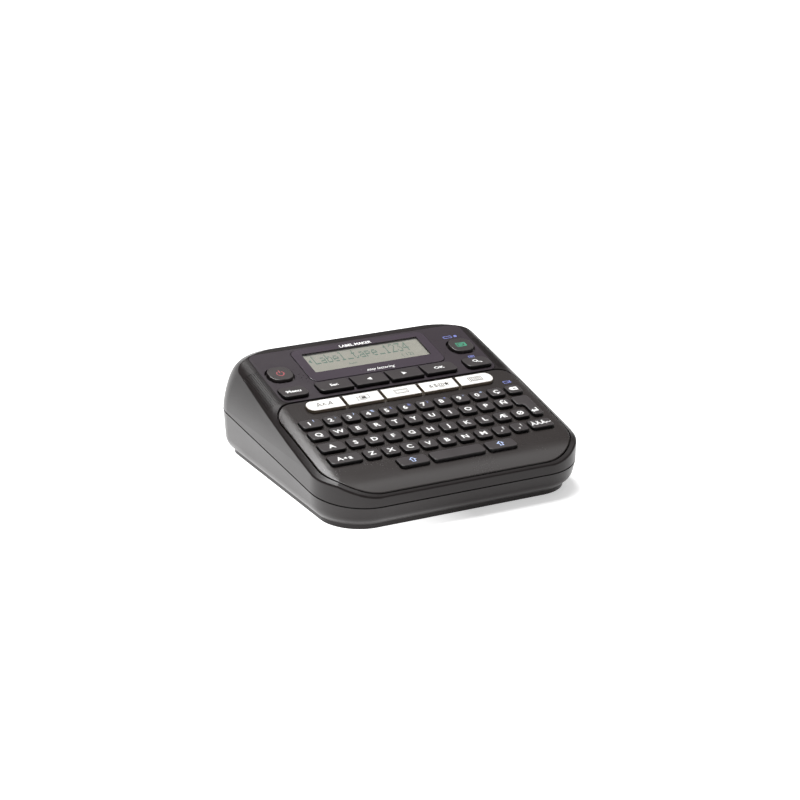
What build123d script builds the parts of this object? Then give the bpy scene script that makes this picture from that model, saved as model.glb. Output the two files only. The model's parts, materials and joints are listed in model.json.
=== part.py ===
from build123d import *
import os
from math import atan2, cos, degrees, pi, radians, sin

os.makedirs("parts", exist_ok=True)

# A desktop label maker. Millimetres, +X to the user's right, +Y away from the user, +Z up.
# The origin is on the table, under the middle of the body.

# ---------------------------------------------------------------- driving dimensions

# body
body_width = 157.0
body_depth = 149.0
front_corner = 28.0  # plan radii at the seam
rear_corner = 20.0
wall = 2.2
underside = 0.4  # flat underside of the case above the table
flank_bottom = 3.2  # the flank overhangs the plinth here
floor_top = 3.0
plinth_inset = 6.3
base_inset = 5.5  # the foot of the flank is this much smaller than the seam all round
knee_height = 7.0
knee_inset = 1.5
knee_radius = 8.0
rim_radius = 1.2  # softening of the edge between deck and walls
seam_front = 14.0  # height of the seam at the front wall
seam_tilt = 4.97  # degrees the seam rises towards the rear
seam_gap = 0.15
seam_groove = 0.7  # height and depth of the shadow line along the seam

# sloping deck, with its own axes: x across, "along" up the slope, height above its surface
deck_tilt = 14.26
deck_y = -45.78  # the middle of the bottom letter row is along = 0
deck_z = 30.9
roll_start = -58.0  # forward of this the deck rolls down to the front rim
roll_radius = 44.8
deck_thickness = 3.6
plate = 2.0  # key fascia and display surround
plate_bed = 2.05  # depth of their recesses

# the deck rolls down along both sides, more tightly towards the rear
crown_start = 67.2
crown_ends = ((-60.0, 27.0), (110.0, 9.0))  # (along, roll radius)
crown_turn = 80.0

# above this height the rear wall leans in and rounds over, and the sides draw in
lean_start = 27.5
lean_height = 30.2
lean_steps = 8

# key fascia, in plan
fascia_half = 74.4
fascia_front = -72.2
fascia_rear = 8.0
fascia_front_corner = 25.6
fascia_rear_corner = 12.0
fascia_edge = 0.5
panel_gap = 0.8

# display surround and frame, on the deck
surround_half = 66.5
surround_front = 56.4
surround_rear = 104.2
frame_half = 41.8
frame_front = 70.9
frame_rear = 102.2
window_half = 36.2
window_front = 79.0
window_rear = 97.6
window_pocket = 2.0  # the frame holds the window this far past its opening

# keys
pitch = 11.2
row_pitch = 11.44
key_gap = 2.1
key_depth = 8.3
key_corner = 2.0
key_proud = 1.9
key_rear = 1.0
key_clearance = 0.3
key_edge = 0.45
flange_margin = 0.6
flange_top = -2.2
flange_bottom = -3.0
pad_top = -4.1
membrane_top = -4.9
board_top = -5.5
board_bottom = -7.1
block_cells = 12.25  # the key block is this many pitches wide

# mechanism, in plan
tape_thickness = 12.0
module = 0.6
mesh_slack = 0.1
feed_at = (-27.8, 58.5)
take_up_at = (-14.5, 44.5)
tape_roll_at = (-2.0, 14.0)
ribbon_at = (11.0, 52.0)
holder_pivot = (-43.0, 30.0)
platen_at = (-35.1, 47.0)
pinch_at = (-35.2, 58.5)
feed_teeth = 30
take_up_teeth = 34
idler_teeth = 36
reduction_large_teeth = 40
reduction_small_teeth = 12
pinion_teeth = 10
chassis_bottom = 22.0
chassis_top = 24.0

# tape cassette
cassette_left = -33.0
cassette_right = 23.0
cassette_front = -10.5
cassette_rear = 64.5
cassette_bottom = 4.0
cassette_top = 20.5
cassette_wall = 1.2

# battery bay and cover
cell_radius = 5.25
cell_length = 43.5
cell_nub = 1.0
cell_pitch = 11.3
cell_height = 9.1
cell_front = -58.4
bay_half = 37.0
bay_front = -60.5
bay_rear = -12.4
bay_ceiling = 15.0
cover_axis_y = -63.0
cover_axis_z = 3.2
cover_nose = 2.2
cover_bottom = 1.0  # set back from the underside, so the cover clears the floor as it swings
cover_rear = 64.7
opening_rear = 65.0

# cutter
lever_x = -41.0
lever_z = 32.0
cut_x = -33.0
tape_slot_x = -31.0

# fixings
screw_places = ((-58.0, -60.0), (58.0, -60.0), (-60.0, 62.0), (60.0, 62.0))
foot_places = ((-62.0, -44.0), (62.0, -44.0), (-62.0, 46.0), (62.0, 46.0))
foot_radius = 5.5
foot_height = 1.9
post_top = 14.0  # the case halves' screw posts meet here
head_seat = 8.0
screw_tip = 21.5

BASE = (Align.CENTER, Align.CENTER, Align.MIN)

tilt = radians(deck_tilt)
deck = Plane(origin=(0, deck_y, deck_z), x_dir=(1, 0, 0), z_dir=(0, -sin(tilt), cos(tilt)))
deck_up = Axis((0, 0, 0), (0, -sin(tilt), cos(tilt)))


# ---------------------------------------------------------------- helpers


def save(shape, node):
    export_step(shape, f"parts/{node}.step")


def block(x, y, z):
    """A box from three (low, high) pairs."""
    size = Box(x[1] - x[0], y[1] - y[0], z[1] - z[0])
    return Pos((x[0] + x[1]) / 2, (y[0] + y[1]) / 2, (z[0] + z[1]) / 2) * size


def upright(at, radius, low, high):
    """A vertical cylinder."""
    return Pos(at[0], at[1], low) * Cylinder(radius, high - low, align=BASE)


def ring(at, outer, inner, low, high):
    return upright(at, outer, low, high) - upright(at, inner, low - 1, high + 1)


def on_deck(x=0.0, along=0.0, height=0.0):
    return deck.location * Pos(x, along, height)


def slab(outline, low, high):
    """A deck outline made solid between two heights over the deck."""
    return on_deck(height=low) * extrude(outline, high - low)


def patch(x, along, corner=0.0):
    """A deck rectangle from two (low, high) pairs."""
    width, length = x[1] - x[0], along[1] - along[0]
    shape = RectangleRounded(width, length, corner) if corner else Rectangle(width, length)
    return Pos((x[0] + x[1]) / 2, (along[0] + along[1]) / 2) * shape


def rounded_plan(half, front, rear, front_radius, rear_radius):
    """A rectangle in plan whose front and rear corners have their own radii."""
    sheet = Pos(0, (front + rear) / 2) * Rectangle(2 * half, rear - front)
    sheet = fillet(sheet.vertices().sort_by(Axis.Y)[:2], front_radius)
    return fillet(sheet.vertices().sort_by(Axis.Y)[-2:], rear_radius)


# ---------------------------------------------------------------- body forms


def body_plan(inset, side=0.0, rear=0.0, rear_radius=rear_corner, stretch=1.0):
    return rounded_plan(
        body_width / 2 - inset - side,
        (-body_depth / 2 + inset) * stretch,
        (body_depth / 2 - inset - rear) * stretch,
        front_corner - inset,
        rear_radius - inset,
    )


seam_rise = radians(seam_tilt)
seam_mid = seam_front + body_depth / 2 * sin(seam_rise) / cos(seam_rise)
seam = Plane(origin=(0, 0, seam_mid), x_dir=(1, 0, 0), z_dir=(0, -sin(seam_rise), cos(seam_rise)))


def under_deck(drop):
    """Everything below the deck surface, or below a surface a constant drop inside it."""
    tangent_z = deck_z + (roll_start - deck_y) * sin(tilt) / cos(tilt)
    centre = (roll_start + roll_radius * sin(tilt), tangent_z - roll_radius * cos(tilt))
    roll = CenterArc(centre, roll_radius - drop, 90 + deck_tilt, 36)
    far = 100.0
    slope_end = roll @ 0 + Vector(far * 2 * cos(tilt), far * 2 * sin(tilt))
    outline = roll + Polyline(
        roll @ 1, ((roll @ 1).X, -far), (slope_end.X, -far), slope_end, roll @ 0
    )
    below = extrude(Plane.YZ * make_face(outline), far, both=True)
    for side in (-1, 1):
        below -= loft([crown_section(side, *end, drop) for end in crown_ends], ruled=True)
    return below


def crown_section(side, along, radius, drop):
    """What lies above the side roll at one place along the deck."""
    across = Plane(
        origin=(0, deck_y + along * cos(tilt), deck_z + along * sin(tilt)),
        x_dir=(1, 0, 0),
        z_dir=(0, -cos(tilt), -sin(tilt)),
    )
    arc = CenterArc((side * crown_start, -radius), radius - drop, 90, -side * crown_turn)
    far_x, far_up = side * 140, 60
    sheet = arc + Polyline(
        arc @ 1, (far_x, (arc @ 1).Y), (far_x, far_up), (side * crown_start, far_up), arc @ 0
    )
    return across * make_face(sheet)


def below_seam(lift=0.0):
    size = Box(400, 400, 200, align=(Align.CENTER, Align.CENTER, Align.MAX))
    return seam.location * Pos(0, 0, lift) * size


def lower_form(inset, floor):
    """The body below the seam, leaning out from the base to the seam."""
    base = Pos(0, 0, floor) * body_plan(base_inset + inset)
    knee = Pos(0, 0, knee_height) * body_plan(knee_inset + inset)
    rim = seam.location * body_plan(inset, stretch=1 / cos(seam_rise))
    return loft([base, knee], ruled=True) + loft([knee, rim], ruled=True)


def lean_section(inset, drop, share):
    """The body's plan at a share of the leaning height."""
    side = 5.4 * share**1.5
    rear = 2.5 * share + 13.75 * share**7
    radius = rear_corner + 7.0 * share**2
    height = lean_start + share * (lean_height - drop)
    return Pos(0, 0, height) * body_plan(inset, side, rear, radius)


def upper_form(inset, drop):
    """The body above the seam and under the deck, or its hollow."""
    below = seam_front - 4
    straight = Pos(0, 0, below) * extrude(body_plan(inset), lean_start - below)
    leaning = loft([lean_section(inset, drop, i / lean_steps) for i in range(lean_steps + 1)])
    return (straight + leaning) & under_deck(drop)


def rim_edges(body):
    """The sharp edges between what faces up and the walls."""
    faces = [(face, face.edges()) for face in body.faces()]
    found = []
    for edge in body.edges():
        sides = [face for face, edges in faces if any(edge.is_same(other) for other in edges)]
        if len(sides) != 2:
            continue
        first, second = (face.normal_at(edge @ 0.5) for face in sides)
        if max(first.Z, second.Z) > 0.3 and first.dot(second) < 0.93:
            found.append(edge)
    return found


# ---------------------------------------------------------------- key outlines on the deck


def row_key(row, start, cells):
    """A key outline from its row, its first cell edge and its width, both in pitches."""
    left = (start - block_cells / 2) * pitch + key_gap / 2
    right = (start + cells - block_cells / 2) * pitch - key_gap / 2
    middle = row * row_pitch
    return patch((left, right), (middle - key_depth / 2, middle + key_depth / 2), key_corner)


number_row = 2.93
number_keys = [row_key(number_row, 0, 1.27)]
number_keys += [row_key(number_row, 1.27 + i, 1) for i in range(10)]
top_letters = [row_key(2, 0, 1.14)]
top_letters += [row_key(2, 1.14 + i, 1) for i in range(10)]
home_letters = [row_key(1, 0, 1.49)]
home_letters += [row_key(1, 1.49 + i, 1) for i in range(10)]
bottom_letters = [row_key(0, 1.84 + i, 1) for i in range(9)]

enter_outline = fillet(
    (
        patch(
            ((11.14 - block_cells / 2) * pitch + key_gap / 2, (block_cells * pitch - key_gap) / 2),
            (2 * row_pitch - key_depth / 2, 2 * row_pitch + key_depth / 2),
        )
        + patch(
            ((11.49 - block_cells / 2) * pitch + key_gap / 2, (block_cells * pitch - key_gap) / 2),
            (row_pitch - key_depth / 2, 2 * row_pitch + key_depth / 2),
        )
    ).vertices(),
    key_corner - 0.1,
)

white_gap = 1.7
white_end = 57.3
white_pitch = (2 * white_end + white_gap) / 5
white_row = patch((-white_end, white_end), (43.2, 52.0), 4.2)
white_outlines = [
    white_row
    & patch(
        (-white_end + i * white_pitch, -white_end + (i + 1) * white_pitch - white_gap), (43, 53)
    )
    for i in range(5)
]

menu_along = (58.9, 69.6)
quad_end = 42.6
quad_gap = 1.9
quad_pitch = (2 * quad_end + quad_gap) / 4
quad_row = patch((-quad_end, quad_end), menu_along, 2.5)
quad_outlines = [
    quad_row
    & patch((-quad_end + i * quad_pitch, -quad_end + (i + 1) * quad_pitch - quad_gap), (58, 71))
    for i in range(4)
]
menu_outline = patch((-64.8, -49.2), menu_along, 3.0)
find_outline = patch((49.2, 64.8), menu_along, 3.0)

round_key_x = 56.6
round_key_along = 81.8
round_key_gap = 1.2
power_outline = Pos(-round_key_x, round_key_along) * RectangleRounded(13.8, 12.4, 5.0)
print_outline = Pos(round_key_x, round_key_along) * RectangleRounded(13.8, 12.4, 5.0)

# node: (outlines, height of the front edge, height of the rear edge, gap to the hole)
keys = {
    "number_row_keys": (number_keys, key_proud, key_rear, key_clearance),
    "top_letter_keys": (top_letters, key_proud, key_rear, key_clearance),
    "home_letter_keys": (home_letters, key_proud, key_rear, key_clearance),
    "bottom_letter_keys": (bottom_letters, key_proud, key_rear, key_clearance),
    "backspace_key": ([row_key(number_row, 11.27, 0.98)], key_proud, key_rear, key_clearance),
    "enter_key": ([enter_outline], key_proud, key_rear, key_clearance),
    "caps_key": ([row_key(0, 0, 1.84)], key_proud, key_rear, key_clearance),
    "accent_key": ([row_key(0, 10.84, 1.41)], key_proud, key_rear, key_clearance),
    "shift_key_left": ([row_key(-1, 3.09, 1.75)], key_proud, key_rear, key_clearance),
    "space_key": ([row_key(-1, 4.84, 3.0)], key_proud, key_rear, key_clearance),
    "shift_key_right": ([row_key(-1, 7.84, 1.75)], key_proud, key_rear, key_clearance),
    "font_key": ([white_outlines[0]], key_proud, key_proud, key_clearance),
    "frame_key": ([white_outlines[1]], key_proud, key_proud, key_clearance),
    "label_key": ([white_outlines[2]], key_proud, key_proud, key_clearance),
    "symbol_key": ([white_outlines[3]], key_proud, key_proud, key_clearance),
    "template_key": ([white_outlines[4]], key_proud, key_proud, key_clearance),
    "esc_key": ([quad_outlines[0]], 2.2, 0.5, key_clearance),
    "left_key": ([quad_outlines[1]], 2.2, 0.5, key_clearance),
    "right_key": ([quad_outlines[2]], 2.2, 0.5, key_clearance),
    "ok_key": ([quad_outlines[3]], 2.2, 0.5, key_clearance),
    "menu_key": ([menu_outline], 2.2, 0.5, key_clearance),
    "find_key": ([find_outline], 2.2, 0.5, key_clearance),
    "power_key": ([power_outline], 1.5, 1.5, round_key_gap),
    "print_key": ([print_outline], 1.5, 1.5, round_key_gap),
}
surround_nodes = list(keys)[16:]
every_outline = [outline for spec in keys.values() for outline in spec[0]]


def key_solid(outline, front, rear, gap):
    """A cap with a softened top, over a retaining flange wider than its hole."""
    cap = slab(outline, flange_top, max(front, rear))
    if front != rear:
        box = outline.bounding_box()
        fall = degrees(atan2(front - rear, box.size.Y))
        wedge = on_deck(0, box.min.Y, front) * Rot(X=-fall) * Box(300, 300, 20, align=BASE)
        cap -= wedge
    roof = cap.faces().sort_by(deck_up)[-1]
    cap = fillet(roof.edges(), key_edge)
    flange = offset(outline, gap + flange_margin - key_clearance)
    return cap + slab(flange, flange_bottom, flange_top)


def key_holes(nodes):
    return [
        slab(offset(outline, keys[node][3]), -plate - 1, 1)
        for node in nodes
        for outline in keys[node][0]
    ]


# ---------------------------------------------------------------- gears


def gear_blank(teeth):
    """Gear outline with straight-sided teeth, the first one pointing along +X."""
    pitch_radius = module * teeth / 2
    tip, root = pitch_radius + 0.8 * module, pitch_radius - 1.1 * module
    half_tip, half_root = 0.19 * 2 * pi / teeth * 0.55, 0.44 * pi / teeth * 1.05
    points = []
    for i in range(teeth):
        angle = 2 * pi * i / teeth
        flanks = ((root, -half_root), (tip, -half_tip), (tip, half_tip), (root, half_root))
        for radius, shift in flanks:
            points.append((radius * cos(angle + shift), radius * sin(angle + shift)))
    return make_face(Polyline(*points, close=True))


def gear(at, teeth, turn, low, high):
    return Pos(at[0], at[1], low) * Rot(Z=turn) * extrude(gear_blank(teeth), high - low)


def mesh_distance(a, b):
    return module * (a + b) / 2 + mesh_slack


def heading(a, b):
    return degrees(atan2(b[1] - a[1], b[0] - a[0]))


def meshing_turn(own, other, teeth, other_teeth, other_turn):
    """The turn that puts a gap of this gear on a tooth of its neighbour, on their centre line."""
    towards = heading(other, own)
    phase = ((towards - other_turn) * other_teeth / 360) % 1
    return towards + 180 + (phase + 0.5) * 360 / teeth


def step_from(at, distance, angle):
    return (at[0] + distance * cos(radians(angle)), at[1] + distance * sin(radians(angle)))


idler_at = step_from(take_up_at, mesh_distance(take_up_teeth, idler_teeth), 15)
reduction_at = step_from(idler_at, mesh_distance(idler_teeth, reduction_small_teeth), 0)
motor_at = step_from(reduction_at, mesh_distance(reduction_large_teeth, pinion_teeth), 0)
feed_turn = 0.0
take_up_turn = meshing_turn(take_up_at, feed_at, take_up_teeth, feed_teeth, feed_turn)
idler_turn = meshing_turn(idler_at, take_up_at, idler_teeth, take_up_teeth, take_up_turn)
small_turn = meshing_turn(reduction_at, idler_at, reduction_small_teeth, idler_teeth, idler_turn)
pinion_turn = meshing_turn(motor_at, reduction_at, pinion_teeth, reduction_large_teeth, 0.0)

gear_low, gear_high = 28.2, 31.2
post_radius = 1.5
running = 0.05


# ---------------------------------------------------------------- shells


def make_lower_case():
    case = lower_form(0, flank_bottom)
    knee = case.edges().filter_by_position(Axis.Z, knee_height - 0.1, knee_height + 0.1)
    case = fillet(knee, knee_radius)
    case += Pos(0, 0, underside) * extrude(body_plan(plinth_inset), flank_bottom - underside + 0.3)
    case -= lower_form(wall, floor_top)
    for at in screw_places:
        case += upright(at, 4.2, floor_top - 0.5, post_top)
    # battery tray, cheeks for the cover's pins
    case += block(
        (-bay_half - 1.2, bay_half + 1.2),
        (bay_front - 1.3, bay_rear + 1.2),
        (floor_top - 0.5, bay_ceiling + 1.2),
    )
    case -= block((-bay_half, bay_half), (bay_front, bay_rear), (0, bay_ceiling))
    for side in (-1, 1):
        cheek = sorted((side * bay_half, side * (bay_half + 3.2)))
        case += block(
            cheek, (cover_axis_y - 3, cover_axis_y + 3), (floor_top - 0.5, cover_axis_z + 3)
        )
    case -= block(
        (-bay_half, bay_half),
        (cover_axis_y - cover_nose - 0.3, opening_rear),
        (0, floor_top + 0.01),
    )
    case -= Pos(0, cover_axis_y, cover_axis_z) * Rot(Y=90) * Cylinder(cover_nose + 0.35, 2 * bay_half)
    case -= Pos(0, cover_axis_y, cover_axis_z) * Rot(Y=90) * Cylinder(1.0 + running, 2 * bay_half + 5.6)
    # screws, feet, adapter socket and tape exit
    for at in screw_places:
        case -= upright(at, 1.6, 0, 30)
        case -= upright(at, 3.0, 0, head_seat)
    for at in foot_places:
        case -= upright(at, foot_radius + 0.1, 0, foot_height)
    case -= Pos(jack_x, 72, jack_z) * Rot(X=90) * Cylinder(jack_hole, 12)
    case -= block((tape_slot_x - 2.5, tape_slot_x + 2.5), (66.5, 80), (5.4, 19.4))
    return case


def make_upper_case():
    outside = upper_form(0, 0)
    shell = fillet(rim_edges(outside), rim_radius) - below_seam(seam_gap)
    core = Pos(0, 0, 5) * extrude(body_plan(seam_groove), 40)
    shell -= seam.location * Box(400, 400, 2 * seam_groove) - core
    shell -= upper_form(wall, deck_thickness)
    inside = upper_form(0.5, 2.5)
    for at in screw_places:
        shell += upright(at, 3.2, post_top + 0.2, 70) & (inside + upright(at, 3.2, post_top, lean_start))
        shell -= upright(at, 1.45, 10, screw_tip + 1)
    shell -= fascia_plan(panel_gap) - under_deck(plate_bed)
    shell -= slab(surround_plan(0.15), -plate_bed, 5)
    # openings below the fascia and the surround
    for x, along in deck_openings:
        shell -= slab(patch(x, along, 2.0), -deck_thickness - 3, 1)
    # fine ribs beside the display
    skin = under_deck(rib_depth)
    for side in (-1, 1):
        for i in range(rib_count):
            x = side * (rib_first + i * rib_pitch)
            groove = patch((x - rib_width / 2, x + rib_width / 2), (rib_front, rib_rear))
            shell -= slab(groove, -8, 1) - skin
    # slot for the cutter lever's pad
    shell -= block((lever_x - 21.3, lever_x - 5.4), (64, 80), (lever_z - 3.1, lever_z + 10.4))
    # posts that the board hangs from
    for x, along in board_posts:
        shell += on_deck(x, along, board_top) * Cylinder(2.2, -deck_thickness - board_top + 0.3, align=BASE)
    return shell


rib_count = 8
rib_first = 67.8
rib_pitch = 1.05
rib_width = 0.35
rib_depth = 0.25
rib_front = 56.5
rib_rear = 88.0
jack_x = 46.0
jack_z = 12.5
jack_hole = 4.2

deck_openings = (
    ((-69.3, 69.3), (-5.6, 53.4)),
    ((-36.5, 41.0), (-17.0, -4.0)),
    ((-65.8, 65.8), (57.8, 89.5)),
    ((-45.0, 45.0), (89.0, 103.2)),
)
board_posts = ((-62.0, -10.0), (62.0, -10.0), (-56.0, 95.5), (56.0, 95.5))


def fascia_plan(grow=0.0):
    """The fascia's outline in plan, as a tall prism."""
    outline = rounded_plan(
        fascia_half + grow,
        fascia_front - grow,
        fascia_rear + grow,
        fascia_front_corner + grow,
        fascia_rear_corner + grow,
    )
    return extrude(outline, 80)


def surround_plan(grow=0.0):
    across = (-surround_half - grow, surround_half + grow)
    sheet = patch(across, (surround_front - grow, surround_rear + grow))
    return fillet(sheet.vertices(), 5.0)


def frame_plan(grow=0.0):
    across = (-frame_half - grow, frame_half + grow)
    return patch(across, (frame_front - grow, frame_rear + grow), 4.5)


def window_plan(grow=0.0):
    across = (-window_half - grow, window_half + grow)
    return patch(across, (window_front - grow, window_rear + grow), 0.6)


def make_key_fascia():
    fascia = (fascia_plan() & under_deck(0)) - under_deck(plate)
    fascia = fillet(rim_edges(fascia), fascia_edge)
    fascia -= key_holes(list(keys)[:11])
    fascia -= slab(offset(white_row, key_clearance), -plate - 1, 1)
    return fascia


def make_display_surround():
    surround = slab(surround_plan(), -plate, 0)
    surround -= key_holes(surround_nodes)
    surround -= slab(frame_plan(0.25), -plate - 1, 1)
    return surround


def make_display_frame():
    frame = slab(frame_plan(), -plate - 0.3, 0.35)
    roof = frame.faces().sort_by(deck_up)[-1]
    frame = fillet(roof.edges(), 0.3)
    frame += slab(offset(frame_plan(), 0.4), -plate - 0.7, -plate - 0.05)
    frame -= slab(window_plan(window_pocket), -plate - 2, -frame_lip)
    return frame - slab(window_plan(), -plate - 2, 2)


frame_lip = 0.35


def make_display_window():
    return slab(window_plan(window_pocket - 0.2), -0.9, -frame_lip - 0.05)


def make_lcd_panel():
    return slab(window_plan(window_pocket - 0.5), board_top + 0.1, -0.95)


board_outline = (
    patch((-68.4, 68.4), (-5.0, 53.0), 2.0)
    + patch((-35.5, 40.0), (-16.5, -4.0), 2.0)
    + patch((-64.0, 64.0), (50.0, 100.0), 3.0)
)


def make_keypad_membrane():
    sheet = board_outline - patch((-44.5, 44.5), (72.0, 110.0))
    for x, along in board_posts:
        sheet -= Pos(x, along) * Circle(2.8)
    membrane = slab(sheet, board_top, membrane_top)
    domes = []
    dome = Cylinder(2.8, pad_top - membrane_top, align=BASE)
    for outline in every_outline:
        middle = outline.bounding_box().center()
        domes.append(on_deck(middle.X, middle.Y, membrane_top) * dome)
    membrane += domes
    return membrane


def make_main_board():
    outline = board_outline
    for x, along in board_posts:
        outline += Pos(x, along) * Circle(3.4)
    board = slab(outline, board_bottom, board_top)
    driver = slab(patch((-18, -2), (17, 33)), board_bottom - 1.6, board_bottom + 0.1)
    memory = slab(patch((13, 23), (19, 31)), board_bottom - 1.4, board_bottom + 0.1)
    return board + driver + memory


def make_back_cover():
    across = (-bay_half + 0.3, bay_half - 0.3)
    cover = block(across, (cover_axis_y, cover_rear), (cover_bottom, floor_top))
    cover += Pos(0, cover_axis_y, cover_axis_z) * Rot(Y=90) * Cylinder(cover_nose, 2 * bay_half - 0.6)
    cover += Pos(0, cover_axis_y, cover_axis_z) * Rot(Y=90) * Cylinder(1.0, 2 * bay_half + 5)
    cover += block((-8, 8), (cover_rear - 1.8, cover_rear - 0.2), (floor_top - 0.5, 3.7))
    return cover


# ---------------------------------------------------------------- power


def make_battery_cells():
    cells = []
    for i in range(6):
        x = (i - 2.5) * cell_pitch
        nub_at = cell_front + cell_length if i % 2 else cell_front - cell_nub
        cell = Pos(x, cell_front, cell_height) * Rot(X=-90) * Cylinder(cell_radius, cell_length, align=BASE)
        cell += Pos(x, nub_at, cell_height) * Rot(X=-90) * Cylinder(1.9, cell_nub, align=BASE)
        cells.append(cell)
    return Compound(cells)


def make_battery_contacts():
    plates = []
    front_y, rear_y = bay_front + 0.05, bay_rear - 0.45
    for i in range(3):
        x = (2 * i - 2) * cell_pitch
        plates.append(block((x - 9, x + 9), (front_y, front_y + 0.4), (5, 13.5)))
    for x, half in ((-2.5, 3.4), (-1, 9), (1, 9), (2.5, 3.4)):
        centre = x * cell_pitch
        plates.append(block((centre - half, centre + half), (rear_y, rear_y + 0.4), (5, 13.5)))
    contacts = []
    for i in range(6):
        x = (i - 2.5) * cell_pitch
        if i % 2:
            base, room, turn = front_y + 0.4, cell_front - front_y - 0.4, -90
        else:
            base, room, turn = rear_y, rear_y - cell_front - cell_length, 90
        contacts.append(Pos(x, base, cell_height) * Rot(X=turn) * Cone(3.0, 1.6, room - 0.05, align=BASE))
    joined = plates[0]
    for piece in plates[1:] + contacts:
        joined += piece
    return joined


def make_dc_jack():
    jack = block((jack_x - 4.5, jack_x + 4.5), (60.5, 70.6), (jack_z - 5.5, jack_z + 5.5))
    jack -= Pos(jack_x, 70.6, jack_z) * Rot(X=90) * Cylinder(3.15, 9.0, align=BASE)
    jack += Pos(jack_x, 70.0, jack_z) * Rot(X=90) * Cylinder(1.0, 9.0, align=BASE)
    return jack


# ---------------------------------------------------------------- print mechanism


def make_chassis():
    frame = block((-62, 62), (-9, 65), (chassis_bottom, chassis_top))
    for x, y in ((-56, -3), (-56, 50), (56, -3), (56, 50)):
        frame += upright((x, y), 3, floor_top, chassis_bottom + 0.5)
    for at in screw_places[2:]:
        frame -= upright(at, 4.8, 10, 30)
    frame -= upright(take_up_at, 2.6, 10, 30)
    frame -= upright(feed_at, 2.0 + running, 10, 30)
    frame -= upright(motor_at, 2.2, 10, 30)
    frame += upright(idler_at, post_radius, chassis_top - 0.5, gear_high + 1)
    frame += upright(idler_at, 1.8, chassis_top - 0.5, gear_low - 0.2)
    frame += upright(reduction_at, post_radius, chassis_top - 0.5, gear_high + 1.5)
    frame += upright(holder_pivot, post_radius, 3.6, chassis_bottom + 0.5)
    # rib that guides the cassette, and the upstand that carries the cutter
    frame += block((cassette_right + 0.4, cassette_right + 1.8), (0, 60), (6, chassis_bottom + 0.5))
    frame += block((lever_x - 6, lever_x + 1.7), (63.5, 65), (chassis_top - 0.5, lever_z + 5))
    frame += Pos(lever_x, 64.5, lever_z) * Rot(X=-90) * Cylinder(post_radius, 5.1, align=BASE)
    return frame


def make_print_head():
    return block((-30.6, -29.5), (41.5, 52.5), (6, 20))


def make_heat_sink():
    sink = block((-29.5, -27.5), (41, 53), (5, chassis_bottom))
    sink += block((-29.5, -25.0), (41, 53), (chassis_bottom - 1.5, chassis_bottom))
    return sink


def make_motor():
    can = upright(motor_at, 10, 4.5, chassis_bottom - 0.3)
    can += upright(motor_at, 2.0, chassis_bottom - 0.5, chassis_top - 0.2)
    return can - upright(motor_at, 1.0 + running, 15, 30)


def make_motor_pinion():
    pinion = gear(motor_at, pinion_teeth, pinion_turn, 24.6, 28.0)
    return pinion + upright(motor_at, 1.0, 16, 29)


def make_reduction_gear():
    wheel = gear(reduction_at, reduction_large_teeth, 0.0, 24.6, 27.4)
    wheel += gear(reduction_at, reduction_small_teeth, small_turn, 27.0, gear_high)
    return wheel - upright(reduction_at, post_radius + running, 20, 40)


def make_idler_gear():
    wheel = gear(idler_at, idler_teeth, idler_turn, gear_low, gear_high)
    return wheel - upright(idler_at, post_radius + running, 20, 40)


def make_feed_gear():
    wheel = gear(feed_at, feed_teeth, feed_turn, gear_low, gear_high)
    wheel += upright(feed_at, 3.6, chassis_top + 0.2, gear_low + 0.5)
    return wheel + upright(feed_at, 2.0, 6, gear_high)


def make_take_up_gear():
    wheel = gear(take_up_at, take_up_teeth, take_up_turn, gear_low, gear_high)
    wheel += upright(take_up_at, 4.0, chassis_top + 0.2, gear_low + 0.5)
    return wheel + upright(take_up_at, 2.5, 6, gear_high)


def roller(at, radius, low, high, shaft_low, shaft_high):
    return upright(at, radius, low, high) + upright(at, 1.0, shaft_low, shaft_high)


def make_roller_holder():
    """A bracket on a pivot post, with a plate under and a plate over both rollers."""
    holder = None
    for low, high in ((4.0, 5.2), (19.9, 21.3)):
        sheet = block((-46.5, -33.5), (27, 62), (low, high))
        sheet -= block((-40.0, -30.0), (20, 43.5), (low - 1, high + 1))
        holder = sheet if holder is None else holder + sheet
    holder += block((-46.5, -44.9), (27, 62), (4.0, 21.3))
    holder += upright(holder_pivot, 3.0, 4.0, 21.3)
    holder -= upright(holder_pivot, post_radius + running, 0, 30)
    for at in (platen_at, pinch_at):
        holder -= upright(at, 1.0 + running, 0, 30)
    return holder


def make_cutter_lever():
    hub = Pos(lever_x, 65.9, lever_z) * Rot(X=-90) * Cylinder(4.2, 2.4, align=BASE)
    lever = hub + block((lever_x - 3, lever_x + 4.2), (65.9, 67.5), (5, lever_z))
    lever += block((lever_x - 19, lever_x), (67.0, 68.3), (lever_z, lever_z + 4.0))
    pad = block((lever_x - 19, lever_x - 6), (67.0, 74.2), (lever_z + 2.0, lever_z + 10))
    lever += fillet(pad.edges().filter_by(Axis.Y) + pad.faces().sort_by(Axis.Y)[-1].edges(), 1.2)
    hole = Cylinder(post_radius + running, 20, align=BASE)
    return lever - Pos(lever_x, 60, lever_z) * Rot(X=-90) * hole


def make_cutter_blade():
    return block((lever_x - 2, cut_x), (65.2, 65.9), (5.2, 20.5))


def make_fixed_blade():
    blade = block((-30.2, -27.4), (66.0, 66.7), (4.8, 21.0))
    return blade + block((-30.2, -22), (65.2, 66.7), (21.0, chassis_bottom))


def make_cutter_spring():
    coil = Pos(lever_x, 68.5, lever_z) * Rot(X=-90) * Cylinder(2.9, 1.0, align=BASE)
    hole = Cylinder(post_radius + 0.1, 20, align=BASE)
    return coil - Pos(lever_x, 60, lever_z) * Rot(X=-90) * hole


# ---------------------------------------------------------------- tape cassette


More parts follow.
